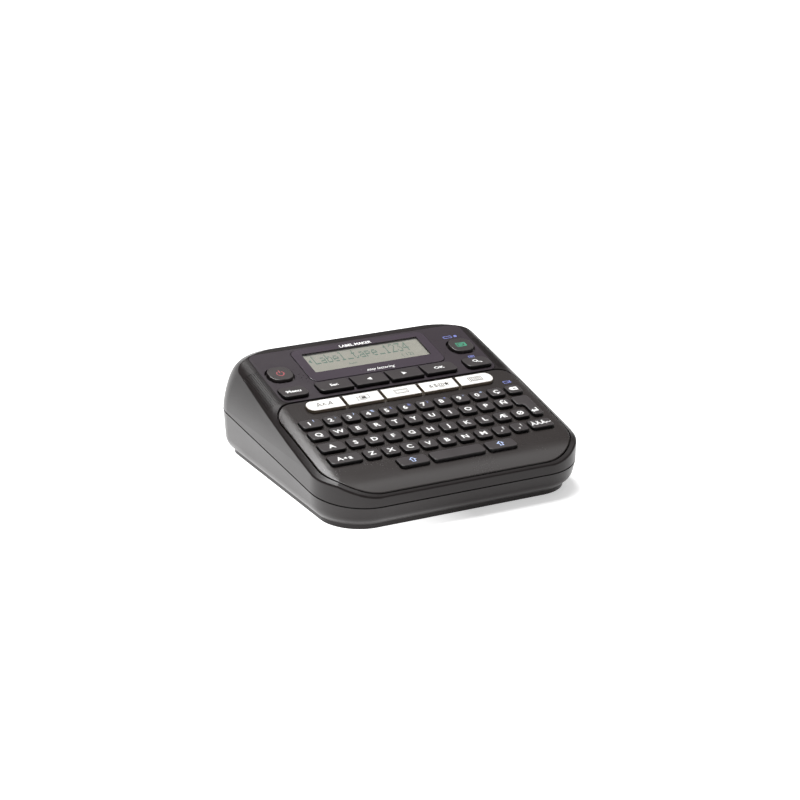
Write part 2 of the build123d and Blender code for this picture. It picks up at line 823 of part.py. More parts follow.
def make_cassette_shell():
    width, depth = cassette_right - cassette_left, cassette_rear - cassette_front
    middle = ((cassette_right + cassette_left) / 2, (cassette_rear + cassette_front) / 2)
    height = cassette_top - cassette_bottom
    outer = Pos(*middle, cassette_bottom) * extrude(RectangleRounded(width, depth, 5), height)
    hollow = RectangleRounded(width - 2 * cassette_wall, depth - 2 * cassette_wall, 4)
    inner = extrude(hollow, height - 2 * cassette_wall)
    inner = Pos(*middle, cassette_bottom + cassette_wall) * inner
    recess = ((-40, -24.6), (39.5, 53.4))
    recess_wall = ((-33, -24.6 + cassette_wall), (39.5 - cassette_wall, 54.5))
    inner -= block(*recess_wall, (0, 30))
    shell = outer - inner
    shell -= block(*recess, (0, 30))
    shell -= block((-40, -28), (54.5, 63), (cassette_bottom + 1.3, cassette_top - 1.0))
    shell += ring(tape_roll_at, 7.6, 6.4, cassette_bottom + 0.5, cassette_top - 0.5)
    shell += ring(ribbon_at, 2.6, 1.6, cassette_bottom + 0.5, cassette_top - 0.5)
    shell -= upright(take_up_at, 3.4, 0, 30)
    shell -= upright(feed_at, 2.6, 0, 30)
    return shell


def spool(at, outer, inner):
    return ring(at, outer, inner, 6.3, 6.3 + tape_thickness)


# ---------------------------------------------------------------- fixings


def make_rubber_feet():
    return Compound([upright(at, foot_radius, 0, foot_height) for at in foot_places])


def make_case_screws():
    screws = []
    for at in screw_places:
        screw = upright(at, 2.75, head_seat - 2, head_seat) + upright(at, 1.4, head_seat - 0.5, screw_tip)
        for half_x, half_y in ((2.0, 0.4), (0.4, 2.0)):
            across = (at[0] - half_x, at[0] + half_x)
            screw -= block(across, (at[1] - half_y, at[1] + half_y), (0, head_seat - 1))
        screws.append(screw)
    return Compound(screws)


# ---------------------------------------------------------------- write every node


for node, (outlines, front, rear, gap) in keys.items():
    caps = [key_solid(outline, front, rear, gap) for outline in outlines]
    save(Compound(caps) if len(caps) > 1 else caps[0], node)

pieces = {
    "lower_case": make_lower_case,
    "upper_case": make_upper_case,
    "key_fascia": make_key_fascia,
    "display_surround": make_display_surround,
    "display_frame": make_display_frame,
    "display_window": make_display_window,
    "lcd_panel": make_lcd_panel,
    "keypad_membrane": make_keypad_membrane,
    "main_board": make_main_board,
    "back_cover": make_back_cover,
    "battery_cells": make_battery_cells,
    "battery_contacts": make_battery_contacts,
    "dc_jack": make_dc_jack,
    "chassis": make_chassis,
    "print_head": make_print_head,
    "heat_sink": make_heat_sink,
    "motor": make_motor,
    "motor_pinion": make_motor_pinion,
    "reduction_gear": make_reduction_gear,
    "idler_gear": make_idler_gear,
    "feed_gear": make_feed_gear,
    "take_up_gear": make_take_up_gear,
    "roller_holder": make_roller_holder,
    "cutter_lever": make_cutter_lever,
    "cutter_blade": make_cutter_blade,
    "fixed_blade": make_fixed_blade,
    "cutter_spring": make_cutter_spring,
    "cassette_shell": make_cassette_shell,
    "rubber_feet": make_rubber_feet,
    "case_screws": make_case_screws,
}
for node, make in pieces.items():
    save(make(), node)

save(roller(platen_at, 4.0, 6.2, 18.6, 4.2, 21.1), "platen_roller")
save(roller(pinch_at, 3.5, 6.2, 18.6, 4.2, 21.1), "pinch_roller")
save(spool(feed_at, 3.6, 2.1), "feed_roller")
save(spool(tape_roll_at, 22.0, 8.0), "tape_roll")
save(spool(ribbon_at, 7.5, 3.0), "ribbon_spool")
save(spool(take_up_at, 6.2, 2.65), "take_up_spool")
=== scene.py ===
# %% [markdown]
# # A desktop label maker
# A keyboard, a small display and a tape printer share one dark moulded case. The case, the keys
# and the mechanism come as solid models. This lesson gives every one of them its finish, prints
# the legends and the characters on the display, and sets up a plain studio.

# %% Load the model
import json

import bpy
from math import cos, pi, radians, sin
from mathutils import Matrix, Vector


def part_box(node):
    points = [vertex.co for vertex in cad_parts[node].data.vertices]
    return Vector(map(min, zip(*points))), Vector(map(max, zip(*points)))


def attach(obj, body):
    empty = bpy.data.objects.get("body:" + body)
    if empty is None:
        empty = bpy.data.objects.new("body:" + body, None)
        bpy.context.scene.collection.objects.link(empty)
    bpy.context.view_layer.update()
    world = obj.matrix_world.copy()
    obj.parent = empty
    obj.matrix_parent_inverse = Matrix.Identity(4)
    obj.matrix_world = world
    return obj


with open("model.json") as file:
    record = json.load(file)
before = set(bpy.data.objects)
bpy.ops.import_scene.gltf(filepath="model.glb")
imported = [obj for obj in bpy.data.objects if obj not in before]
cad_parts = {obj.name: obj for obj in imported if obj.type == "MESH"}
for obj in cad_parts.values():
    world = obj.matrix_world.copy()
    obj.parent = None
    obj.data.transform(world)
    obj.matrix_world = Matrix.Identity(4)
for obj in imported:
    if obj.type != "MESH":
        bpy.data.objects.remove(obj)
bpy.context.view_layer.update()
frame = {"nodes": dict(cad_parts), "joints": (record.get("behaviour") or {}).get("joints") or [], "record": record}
nodes = frame["nodes"]
MM = 0.001

# %% [markdown]
# ## Sums on shader sockets
# A material is a graph of nodes. A small class stands for one output of a node, so that a sum
# such as 0.4 + grain * 0.1 adds its own Math nodes. That keeps the recipes below readable.


# %% A wire between shader nodes
class Wire:
    """One output of a shader node, which can be used in ordinary Python sums."""

    def __init__(self, finish, socket):
        self.finish = finish
        self.socket = socket

    def sum(self, operation, first, second=0.0):
        return self.finish.node("ShaderNodeMath", {"operation": operation}, {0: first, 1: second})

    def __add__(self, other):
        return self.sum("ADD", self, other)

    def __radd__(self, other):
        return self.sum("ADD", other, self)

    def __sub__(self, other):
        return self.sum("SUBTRACT", self, other)

    def __rsub__(self, other):
        return self.sum("SUBTRACT", other, self)

    def __mul__(self, other):
        return self.sum("MULTIPLY", self, other)

    def __rmul__(self, other):
        return self.sum("MULTIPLY", other, self)

    def above(self, level):
        return self.sum("GREATER_THAN", self, level)

    def below(self, level):
        return self.sum("LESS_THAN", self, level)


# %% [markdown]
# ## One recipe book for all finishes
# Each finish is a Principled shader with noise behind its colour, roughness and bump. The
# pattern is read from object coordinates in metres, so sizes can be given in millimetres of
# the real surface, and the grain stays put when a part moves.


# %% A finish
# The input and output numbers of a Mix node's colours
MIX_FIRST, MIX_SECOND, MIX_RESULT = 6, 7, 2


class Finish:
    """A material made of nodes around one Principled shader."""

    def __init__(self, name, **constants):
        self.material = bpy.data.materials.new(name)
        self.material.use_nodes = True
        self.tree = self.material.node_tree
        self.shader = self.tree.nodes["Principled BSDF"]
        for socket, value in constants.items():
            self.shader.inputs[socket.replace("_", " ")].default_value = value
        self.place = self.node("ShaderNodeTexCoord", output="Object")

    def feed(self, socket, value):
        if isinstance(value, Wire):
            self.tree.links.new(value.socket, socket)
        else:
            socket.default_value = value

    def node(self, kind, settings=None, sockets=None, output=0):
        made = self.tree.nodes.new(kind)
        for setting, value in (settings or {}).items():
            setattr(made, setting, value)
        for socket, value in (sockets or {}).items():
            self.feed(made.inputs[socket], value)
        return Wire(self, made.outputs[output])

    def noise(self, size, detail=2.0, place=None):
        """Soft lumps of about this many millimetres, from 0 to 1."""
        sockets = {"Vector": place or self.place, "Scale": 1.0 / (size * MM), "Detail": detail}
        return self.node("ShaderNodeTexNoise", {}, sockets)

    def moved(self, centre=(0, 0, 0), scale=(1, 1, 1), turn=(0, 0, 0)):
        """Object coordinates measured from a centre, turned and scaled."""
        shift = {0: self.place, 1: centre}
        centred = self.node("ShaderNodeVectorMath", {"operation": "SUBTRACT"}, shift)
        sockets = {"Vector": centred, "Rotation": turn, "Scale": scale}
        return self.node("ShaderNodeMapping", {}, sockets)

    def axis(self, name, place=None):
        """One coordinate of a place."""
        return self.node("ShaderNodeSeparateXYZ", {}, {0: place or self.place}, name)

    def blend(self, share, first, second):
        """A colour between two colours."""
        sockets = {0: share, MIX_FIRST: first, MIX_SECOND: second}
        return self.node("ShaderNodeMix", {"data_type": "RGBA"}, sockets, MIX_RESULT)

    def zigzag(self, value, width):
        """A ramp that climbs to the width, falls back to zero, and starts again."""
        return self.node("ShaderNodeMath", {"operation": "PINGPONG"}, {0: value, 1: width})

    def coat(self, colour=None, roughness=None, metallic=None, height=None, depth=0.01):
        """Feeds the shader. The height is a bump, its depth in millimetres."""
        if colour is not None:
            self.feed(self.shader.inputs["Base Color"], colour)
        if roughness is not None:
            self.feed(self.shader.inputs["Roughness"], roughness)
        if metallic is not None:
            self.feed(self.shader.inputs["Metallic"], metallic)
        if height is not None:
            sockets = {"Strength": 1.0, "Distance": depth * MM, "Height": height}
            self.feed(self.shader.inputs["Normal"], self.node("ShaderNodeBump", {}, sockets))
        return self.material


def shade(colour, amount):
    """The same colour, lighter or darker."""
    return [min(1.0, part * amount) for part in colour] + [1.0]


# %% [markdown]
# ## Moulded plastic
# The case, the keys and most inside parts are injection moulded. A mould is spark eroded, which
# leaves a fine even grain, and the colour and gloss drift a little over a large part. Three
# noises of different sizes give the drift, the specks and the grain.


# %% Moulded plastic
def moulded(name, colour, roughness, grain=0.35, depth=0.012, drift=0.10, **constants):
    finish = Finish(name, **constants)
    slow = finish.noise(24.0)
    speck = finish.noise(0.9)
    tone = slow * 0.65 + speck * 0.35
    mixed = finish.blend(tone, shade(colour, 1 - drift), shade(colour, 1 + drift))
    gloss = roughness + (slow - 0.5) * 0.10 + (speck - 0.5) * 0.08
    return finish.coat(mixed, gloss, height=finish.noise(grain), depth=depth)


plastics = {
    "case": moulded(
        "case_plastic", (0.017, 0.0135, 0.0135), 0.32, depth=0.008, Specular_IOR_Level=0.27
    ),
    "fascia": moulded(
        "fascia_plastic", (0.030, 0.025, 0.024), 0.25, grain=0.25, depth=0.002, drift=0.05
    ),
    "surround": moulded("surround_plastic", (0.033, 0.025, 0.031), 0.30, grain=0.25, depth=0.003),
    "display_frame": moulded(
        "display_frame_plastic", (0.052, 0.040, 0.052), 0.24, grain=0.25, depth=0.003
    ),
    "round_keys": moulded(
        "round_key_plastic", (0.046, 0.040, 0.040), 0.30, grain=0.25, depth=0.006
    ),
    "jack": moulded("jack_plastic", (0.012, 0.012, 0.013), 0.45),
    "chassis": moulded("chassis_plastic", (0.115, 0.118, 0.122), 0.55, depth=0.02),
    "white_gear": moulded("white_gear_acetal", (0.80, 0.78, 0.72), 0.36, drift=0.03),
    "holder": moulded("roller_holder_plastic", (0.20, 0.21, 0.22), 0.5),
    "lever": moulded("lever_plastic", (0.24, 0.245, 0.25), 0.40),
    "cassette": moulded("cassette_plastic", (0.30, 0.31, 0.32), 0.46, drift=0.04),
}
print(len(plastics), "moulded plastics")

# %% [markdown]
# ## Key tops and painted shade on key sides
# A key is two-toned to the eye: its top is satin and evenly lit, and its sides fall into shade.
# That shade is painted: the sides get a darker colour of their own. The tops all face nearly
# the same way, so the surface's own direction tells top from the sides. That direction is
# fixed to the part, so the painted shade is the same from every camera. The space key's joint
# slides square to the deck, so its axis gives the way the deck faces.

# %% Which way the deck faces
space_press = next(joint for joint in frame["joints"] if joint["child"] == "space_key")
deck_normal = -Vector(space_press["axis"]).normalized()
deck_up = Vector((0, deck_normal.z, -deck_normal.y))
deck_turn = -Vector((0, 1)).angle_signed(Vector((deck_up.y, deck_up.z)))
print("deck slope in degrees", round(abs(deck_turn) * 180 / pi, 2))


# %% [markdown]
# The finish fades from the painted shade colour of the sides to the top's colour between two
# cosines, so that the rounded edge of a key stays soft.

# %% Key plastic
# Cosines of the angle to the deck's normal where a side ends and where a top begins
SIDE_ENDS, TOP_BEGINS = 0.55, 0.93


def key_plastic(name, top, shaded_side, roughness):
    finish = Finish(name)
    facing = finish.node("ShaderNodeNewGeometry", output="True Normal")
    pair = {0: facing, 1: deck_normal}
    lift = finish.node("ShaderNodeVectorMath", {"operation": "DOT_PRODUCT"}, pair, "Value")
    fade = {"Value": lift, "From Min": SIDE_ENDS, "From Max": TOP_BEGINS}
    upper = finish.node("ShaderNodeMapRange", {"clamp": True}, fade)
    slow = finish.noise(9.0)
    grain = finish.noise(0.3)
    # Painted shade: the sides of a key take this darker colour, where light falls off them.
    painted_shade_flank = finish.blend(slow, shade(shaded_side, 0.9), shade(shaded_side, 1.1))
    crown = finish.blend(slow * 0.7 + grain * 0.3, shade(top, 0.9), shade(top, 1.1))
    mixed = finish.blend(upper, painted_shade_flank, crown)
    gloss = roughness + (slow - 0.5) * 0.08 + (grain - 0.5) * 0.06
    return finish.coat(mixed, gloss, height=grain, depth=0.008)


# The sides' colours are painted shade: brownish on the light keys, near black on the dark keys.
plastics["white_keys"] = key_plastic(
    "white_key_plastic", top=(0.86, 0.84, 0.81), shaded_side=(0.20, 0.16, 0.12), roughness=0.38
)
plastics["dark_keys"] = key_plastic(
    "dark_key_plastic", top=(0.042, 0.036, 0.037), shaded_side=(0.002, 0.0017, 0.0017), roughness=0.36
)
print("white and dark keys ready")

# %% [markdown]
# ## Metals
# Plated steel, aluminium and brass have no colour of their own apart from their reflection.
# Fine scratches in one direction come from a noise that is squeezed across it.


# %% Metals
def brushed(name, colour, roughness, squeeze=(1, 1, 12), depth=0.004):
    finish = Finish(name, Metallic=1.0)
    lines = finish.noise(0.5, 3.0, finish.moved(scale=squeeze))
    stain = finish.noise(7.0)
    mixed = finish.blend(stain * 0.6 + lines * 0.4, shade(colour, 0.84), shade(colour, 1.08))
    gloss = roughness + (lines - 0.5) * 0.22 + (stain - 0.5) * 0.12
    return finish.coat(mixed, gloss, height=lines, depth=depth)


metals = {
    "nickel": brushed("nickel_strip", (0.70, 0.68, 0.63), 0.28, (1, 8, 1)),
    "heat_sink": brushed("heat_sink_aluminium", (0.74, 0.75, 0.76), 0.38, (1, 10, 1)),
    "motor_can": brushed("motor_can_steel", (0.62, 0.61, 0.59), 0.30, (8, 8, 1)),
    "brass_gear": brushed("brass_pinion", (0.72, 0.53, 0.24), 0.30),
    "steel_blade": brushed("blade_steel", (0.66, 0.66, 0.68), 0.22, (10, 1, 1)),
    "spring_steel": brushed("spring_steel_wire", (0.55, 0.54, 0.52), 0.26, (6, 6, 6)),
    "screw_steel": brushed("screw_steel_black", (0.10, 0.10, 0.105), 0.35, (1, 1, 4)),
}
print(len(metals), "metals")

# %% [markdown]
# ## Rubber, tape and ribbon
# Rubber is matt with tiny pits, and dust makes it paler in soft patches. Two noises do both.


# %% Rubbers
def rubber(name, colour, roughness=0.75):
    finish = Finish(name)
    pits = finish.noise(0.5, 4.0)
    dust = finish.noise(6.0, 3.0)
    mixed = finish.blend(dust, shade(colour, 0.85), shade(colour, 1.35))
    return finish.coat(mixed, roughness + (dust - 0.5) * 0.16, height=pits, depth=0.03)


rubbers = {
    "membrane": rubber("membrane_rubber", (0.42, 0.43, 0.42), 0.62),
    "rubber": rubber("foot_rubber", (0.018, 0.018, 0.019), 0.8),
    "roller_rubber": rubber("roller_rubber", (0.030, 0.029, 0.029), 0.65),
}
print(len(rubbers), "rubbers")


# %% [markdown]
# A roll of tape shows its turns as fine rings on its flat end, so the pattern is the distance
# from the roll's own axis, which the roll's box gives.


# %% Wound rolls
def wound(name, node, colour, line, pitch, roughness):
    """Rings of two colours round the middle of a node, their pitch in millimetres."""
    low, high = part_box(node)
    finish = Finish(name)
    place = finish.moved(centre=(low + high) / 2, scale=(1, 1, 0))
    reach = finish.node("ShaderNodeVectorMath", {"operation": "LENGTH"}, {0: place}, "Value")
    edge = finish.zigzag(reach, pitch * MM) * (1 / (pitch * MM))
    slow = finish.noise(5.0)
    mixed = finish.blend(edge * 0.7 + slow * 0.3, shade(colour, 1.0), shade(line, 1.0))
    return finish.coat(mixed, roughness + slow * 0.15, height=edge, depth=0.03)


rolls = {
    "tape": wound(
        "label_tape", "tape_roll", (0.80, 0.80, 0.77), (0.55, 0.54, 0.50), 0.35, 0.42
    ),
    "ribbon": wound(
        "ink_ribbon", "ribbon_spool", (0.016, 0.016, 0.018), (0.05, 0.05, 0.055), 0.25, 0.25
    ),
}
print(len(rolls), "wound rolls")

# %% [markdown]
# ## Display
# The display is a pale green reflector behind a grid of segments that can be just made out. A
# clear sheet covers it. The grid is drawn in the deck's own directions, so the coordinates are
# first turned by the deck's slope.


# %% Liquid crystal and its window
# Half the pitch of the grid's columns and lines and the width of its gaps, in millimetres
HALF_COLUMN, HALF_LINE, GRID_GAP = 0.335, 0.6, 0.04


def crystal(name, colour):
    low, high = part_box("lcd_panel")
    finish = Finish(name, Specular_IOR_Level=0.3)
    place = finish.moved(centre=(low + high) / 2, turn=(deck_turn, 0, 0))
    columns = finish.zigzag(finish.axis("X", place), HALF_COLUMN * MM)
    lines = finish.zigzag(finish.axis("Y", place), HALF_LINE * MM)
    grid = columns.below(GRID_GAP * MM) + lines.below(GRID_GAP * MM)
    cloud = finish.noise(14.0)
    ground = finish.blend(cloud, shade(colour, 0.95), shade(colour, 1.05))
    mixed = finish.blend(grid * 0.25, ground, shade(colour, 0.8))
    return finish.coat(mixed, 0.55 + cloud * 0.1, height=finish.noise(0.4), depth=0.004)


def clear_sheet(name):
    finish = Finish(name, Alpha=0.10, IOR=1.49)
    smear = finish.noise(12.0, 3.0)
    tint = finish.blend(smear, (0.30, 0.31, 0.32, 1), (0.36, 0.37, 0.38, 1))
    return finish.coat(tint, 0.06 + smear * 0.08, height=finish.noise(30.0), depth=0.01)


displays = {
    "lcd": crystal("lcd_reflector", (0.315, 0.305, 0.25)),
    "window": clear_sheet("display_window_sheet"),
}
print("display finishes ready")

# %% [markdown]
# ## Circuit board, print head and battery cells
# The board is green lacquer over copper, with black chips under it. The chips are the part of
# the node that lies deeper than the board, so the height tells them from the lacquer.


# %% Circuit board
# Half the pitch and half the width of the copper tracks, and a little more than half the
# thickness of the board, in millimetres
HALF_TRACK_PITCH, HALF_TRACK, HALF_BOARD = 1.1, 0.35, 0.85


def lacquered_board(name, node):
    low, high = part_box(node)
    finish = Finish(name)
    place = finish.moved(centre=(low + high) / 2, turn=(deck_turn, 0, 0))
    across, along, height = (finish.axis(letter, place) for letter in "XYZ")
    wiggle = finish.noise(9.0)
    track = finish.zigzag(along + wiggle * 0.004 + across * 0.2, HALF_TRACK_PITCH * MM)
    copper = track.below(HALF_TRACK * MM) * wiggle.above(0.5)
    green = finish.blend(copper, (0.012, 0.085, 0.035, 1), (0.06, 0.19, 0.06, 1))
    chip = height.below(-HALF_BOARD * MM)
    mixed = finish.blend(chip, green, (0.012, 0.012, 0.013, 1))
    return finish.coat(mixed, 0.32 + chip * 0.2 + wiggle * 0.06, height=copper, depth=0.03)


# %% [markdown]
# The print head is a white ceramic strip with a dark line of heating points. A cell has a
# printed sleeve with one coloured band, between two bare ends.


# %% Print head and cells
# Half the width of the heated line, and where a cell's band starts and stops and its sleeve
# ends, in millimetres from the middle
HALF_HEATED, BAND_START, BAND_STOP, SLEEVE_END = 0.5, 12.0, 13.0, 21.2


def heated_ceramic(name):
    low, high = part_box("print_head")
    finish = Finish(name)
    place = finish.moved(centre=(low + high) / 2)
    reach = finish.axis("Y", place)
    line = reach.sum("ABSOLUTE", reach).below(HALF_HEATED * MM)
    fired = finish.noise(1.5, 3.0)
    ground = finish.blend(fired, (0.70, 0.69, 0.66, 1), (0.80, 0.79, 0.76, 1))
    mixed = finish.blend(line, ground, (0.10, 0.06, 0.04, 1))
    return finish.coat(mixed, 0.25 + fired * 0.1, height=fired)


def printed_sleeve(name):
    low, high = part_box("battery_cells")
    finish = Finish(name)
    place = finish.moved(centre=(low + high) / 2)
    along = finish.axis("Y", place)
    reach = along.sum("ABSOLUTE", along)
    bare = reach.above(SLEEVE_END * MM)
    band = reach.above(BAND_START * MM) * reach.below(BAND_STOP * MM)
    ink = finish.noise(0.8)
    sleeve = finish.blend(ink, (0.030, 0.050, 0.13, 1), (0.035, 0.060, 0.16, 1))
    striped = finish.blend(band, sleeve, (0.72, 0.60, 0.25, 1))
    mixed = finish.blend(bare, striped, (0.66, 0.65, 0.62, 1))
    return finish.coat(mixed, 0.28 + ink * 0.08, metallic=bare * 1.0, height=ink, depth=0.004)


odd_finishes = {
    "board": lacquered_board("board_lacquer", "main_board"),
    "ceramic": heated_ceramic("print_head_ceramic"),
    "cells": printed_sleeve("cell_sleeve"),
}
print("board, print head and cells ready")

# %% [markdown]
# ## Give every solid its finish
# The record says which finish each solid has by a slot name. One table from slot to material
# covers them all, and a missing name would stop the script here.

# %% Dress the solids
finish_of_slot = {**plastics, **metals, **rubbers, **rolls, **displays, **odd_finishes}
slot_of_node = {part["node"]: part["material_slot"] for part in frame["record"]["subparts"]}
for node, solid in nodes.items():
    solid.data.materials.clear()
    solid.data.materials.append(finish_of_slot[slot_of_node[node]])
print(len(nodes), "solids dressed")

# %% [markdown]
# ## Finding the key tops
# A legend lies on the flat top of a key. The tops are found in the mesh: all flat patches that
# face up from the deck are sorted into keys by their gaps in X, and each key's largest high
# patch gives a place, a direction and a size to print on.


# %% Flat tops
FACES_UP = 0.95  # Cosine to the deck's normal of the steepest face that can be a top
TOP_SPAN = 2.4  # How far below the highest point a top can reach, in millimetres
SAME_PLANE = 0.99995  # Cosine between two faces of one flat top


def flat_tops(node, gap=0.6 * MM):
    """The top of every key of a node, from left to right: a matrix, a width and a depth."""
    mesh = nodes[node].data
    mesh.calc_loop_triangles()
    found = []
    for triangle in mesh.loop_triangles:
        corners = [mesh.vertices[i].co for i in triangle.vertices]
        normal = triangle.normal
        if normal.dot(deck_normal) > FACES_UP:
            found.append((min(c.x for c in corners), triangle.area, normal.copy(), corners))
    found.sort(key=lambda item: item[0])
    groups, reach = [], None
    for item in found:
        if reach is None or item[0] > reach + gap:
            groups.append([])
        groups[-1].append(item)
        reach = max([reach or item[0]] + [c.x for c in item[3]])
    return [top_of_patch(group) for group in groups]


def top_of_patch(group):
    """The largest flat face among a key's high faces, as a matrix, a width and a depth."""
    height = [sum((c.dot(deck_normal) for c in item[3])) / 3 for item in group]
    crown = [item for item, high in zip(group, height) if high > max(height) - TOP_SPAN * MM]
    widest = max(crown, key=lambda item: item[1])
    flat = [item for item in crown if item[2].dot(widest[2]) > SAME_PLANE]
    corners = [corner for item in flat for corner in item[3]]
    normal = widest[2]
    up = normal.cross(Vector((1, 0, 0))).normalized()
    left, right = min(c.x for c in corners), max(c.x for c in corners)
    near, far = min(c.dot(up) for c in corners), max(c.dot(up) for c in corners)
    level = corners[0].dot(normal)
    centre = Vector(((left + right) / 2, 0, 0)) + up * (near + far) / 2 + normal * level
    return print_place(centre, normal), (right - left) / MM, (far - near) / MM


def print_place(centre, normal):
    """A matrix whose X is across, Y up the slope and Z out of the surface."""
    up = normal.cross(Vector((1, 0, 0))).normalized()
    turned = Matrix((Vector((1, 0, 0)), up, normal)).transposed().to_4x4()
    return Matrix.Translation(centre) @ turned


number_tops = flat_tops("number_row_keys")
second_size = [round(size, 2) for size in number_tops[1][1:]]
print(len(number_tops), "number keys; the second is", second_size, "mm")

# %% [markdown]
# ## Printing
# Key legends are pad printed: a thin film of ink that lies on the plastic. Text objects and flat
# curves are given a thickness of a few hundredths of a millimetre, made into meshes, and then
# laid on the key. All print of one colour on one key body becomes one piece that rides on it.

# %% Inks
INK = 0.022  # Thickness of the film to each side of the surface, in millimetres


def ink(name, colour, roughness=0.45, drift=0.04):
    finish = Finish(name)
    cover = finish.noise(0.35, 3.0)
    slow = finish.noise(6.0)
    tone = cover * 0.5 + slow * 0.5
    mixed = finish.blend(tone, shade(colour, 1 - drift), shade(colour, 1 + drift))
    return finish.coat(mixed, roughness + (cover - 0.5) * 0.1, height=cover, depth=0.003)


inks = {
    "white": ink("white_ink", (0.88, 0.88, 0.87)),
    "blue": ink("blue_ink", (0.16, 0.19, 0.50)),
    "pale_blue": ink("pale_blue_ink", (0.50, 0.62, 0.92)),
    "grey": ink("grey_ink", (0.035, 0.028, 0.025)),
    "red": ink("red_ink", (0.36, 0.06, 0.07)),
    "green": ink("green_ink", (0.05, 0.36, 0.21)),
    "crystal": ink("crystal_ink", (0.055, 0.13, 0.085)),
}
printed = {}
print(len(inks), "inks")


# %% [markdown]
# A print is drawn flat about its own centre and then moved by the matrix of the key top. The
# helpers take millimetres, since that is how a legend is measured.


# %% Laying print on a surface
CAPITAL_SHARE = 0.69  # Height of a capital letter over the size of the font


def lay(flat, place, body, colour):
    """Turns a text or a flat curve into a mesh in place, and keeps it with its body and colour."""
    bpy.ops.object.select_all(action="DESELECT")
    bpy.context.view_layer.objects.active = flat
    flat.select_set(True)
    bpy.ops.object.convert(target="MESH")
    flat = bpy.context.view_layer.objects.active
    flat.data.transform(place @ flat.matrix_basis)
    flat.matrix_basis = Matrix.Identity(4)
    printed.setdefault((body, colour), []).append(flat)


def lettering(text, height, place, body, colour, x=0.0, y=0.0, weight=0.0, wide=1.0, slant=0.0):
    """Text whose capitals are this many millimetres high, centred at x, y on the surface."""
    curve = bpy.data.curves.new("lettering", "FONT")
    curve.body = text
    curve.align_x = "CENTER"
    curve.size = height / CAPITAL_SHARE * MM
    curve.offset = weight * MM
    curve.extrude = INK * MM
    curve.shear = slant
    curve.resolution_u = 3
    flat = bpy.data.objects.new("lettering", curve)
    bpy.context.scene.collection.objects.link(flat)
    corner = Vector((x, y - height / 2, 0)) * MM
    flat.matrix_basis = Matrix.LocRotScale(corner, None, Vector((wide, 1, 1)))
    lay(flat, place, body, colour)


def figure(outlines, place, body, colour, x=0.0, y=0.0, size=1.0):
    """A flat shape from closed outlines in millimetres. An outline inside another is a hole."""
    curve = bpy.data.curves.new("figure", "CURVE")
    curve.dimensions = "2D"
    curve.fill_mode = "BOTH"
    curve.extrude = INK * MM
    for outline in outlines:
        spline = curve.splines.new("POLY")
        spline.points.add(len(outline) - 1)
        for point, (across, up) in zip(spline.points, outline):
            point.co = ((x + across * size) * MM, (y + up * size) * MM, 0, 1)
        spline.use_cyclic_u = True
    flat = bpy.data.objects.new("figure", curve)
    bpy.context.scene.collection.objects.link(flat)
    lay(flat, place, body, colour)


def rectangle(left, right, low, high):
    return [(left, low), (right, low), (right, high), (left, high)]


def frame_shape(left, right, low, high, line):
    """A rectangular ring whose line is this wide."""
    inner = rectangle(left + line, right - line, low + line, high - line)
    return [rectangle(left, right, low, high), inner]


def arc(radius, start, end, steps=20, centre=(0, 0)):
    """Points on an arc, with angles in degrees."""
    angles = [radians(start + (end - start) * i / steps) for i in range(steps + 1)]
    return [(centre[0] + radius * cos(a), centre[1] + radius * sin(a)) for a in angles]


# %% [markdown]
# ## Letters and figures
# Each row of keys is one node, so its legends are given from left to right. The small signs at
# the upper right of the figures are a second print.

# %% Letter rows
letter_rows = {
    "top_letter_keys": "QWERTYUIOP\u00d1",
    "home_letter_keys": "ASDFGHJKL\u00c6\u00d8",
    "bottom_letter_keys": "ZXCVBNM",
}
CAPITAL, SMALL_MARK, SIGN = 3.3, 2.6, 1.9  # Heights of capitals, second marks and small signs
BOLD = 0.13  # How much the strokes are widened
for node, letters in letter_rows.items():
    tops = flat_tops(node)
    for letter, (place, _, _) in zip(letters, tops):
        lettering(letter, CAPITAL, place, node, "white", weight=BOLD, wide=1.12)
    print(node, len(tops), "tops")

mark_tops = flat_tops("bottom_letter_keys")[len(letter_rows["bottom_letter_keys"]):]
for (place, _, _), low, high in zip(mark_tops, ".,", "?!"):
    lettering(low, CAPITAL, place, "bottom_letter_keys", "white", x=-0.6, weight=BOLD)
    lettering(high, SMALL_MARK, place, "bottom_letter_keys", "white", x=1.7, y=1.2, weight=0.06)

for (place, _, _), digit in zip(number_tops, "1234567890"):
    lettering(digit, CAPITAL, place, "number_row_keys", "white", x=-1.1, weight=BOLD, wide=1.1)
lettering("\u00c7", CAPITAL, number_tops[10][0], "number_row_keys", "white", weight=BOLD, wide=1.1)
sign_ink = ["pale_blue"] * 4 + ["blue"] * 4 + ["pale_blue"] * 2
for (place, _, _), sign, colour in zip(number_tops, "!:/%(&)*-=", sign_ink):
    lettering(sign, SIGN, place, "number_row_keys", colour, x=2.3, y=2.1, weight=0.05)
print(len(number_tops), "number keys lettered, with", len(sign_ink), "small signs")

# %% [markdown]
# ## Word keys and symbol keys
# The editing keys carry short words, arrows and simple symbols. Each symbol is a flat outline
# drawn from a few points, as a printer's block would be.

# %% Words and arrows
def top_place(node):
    """The matrix of a single key's top."""
    return flat_tops(node)[0][0]


single_tops = {node: top_place(node) for node in slot_of_node if node.endswith("_key")}
shift_tops = {node: top_place(node) for node in ("shift_key_left", "shift_key_right")}


def word_on(node, text, height, **where):
    lettering(text, height, single_tops[node], node, "white", weight=0.11, **where)


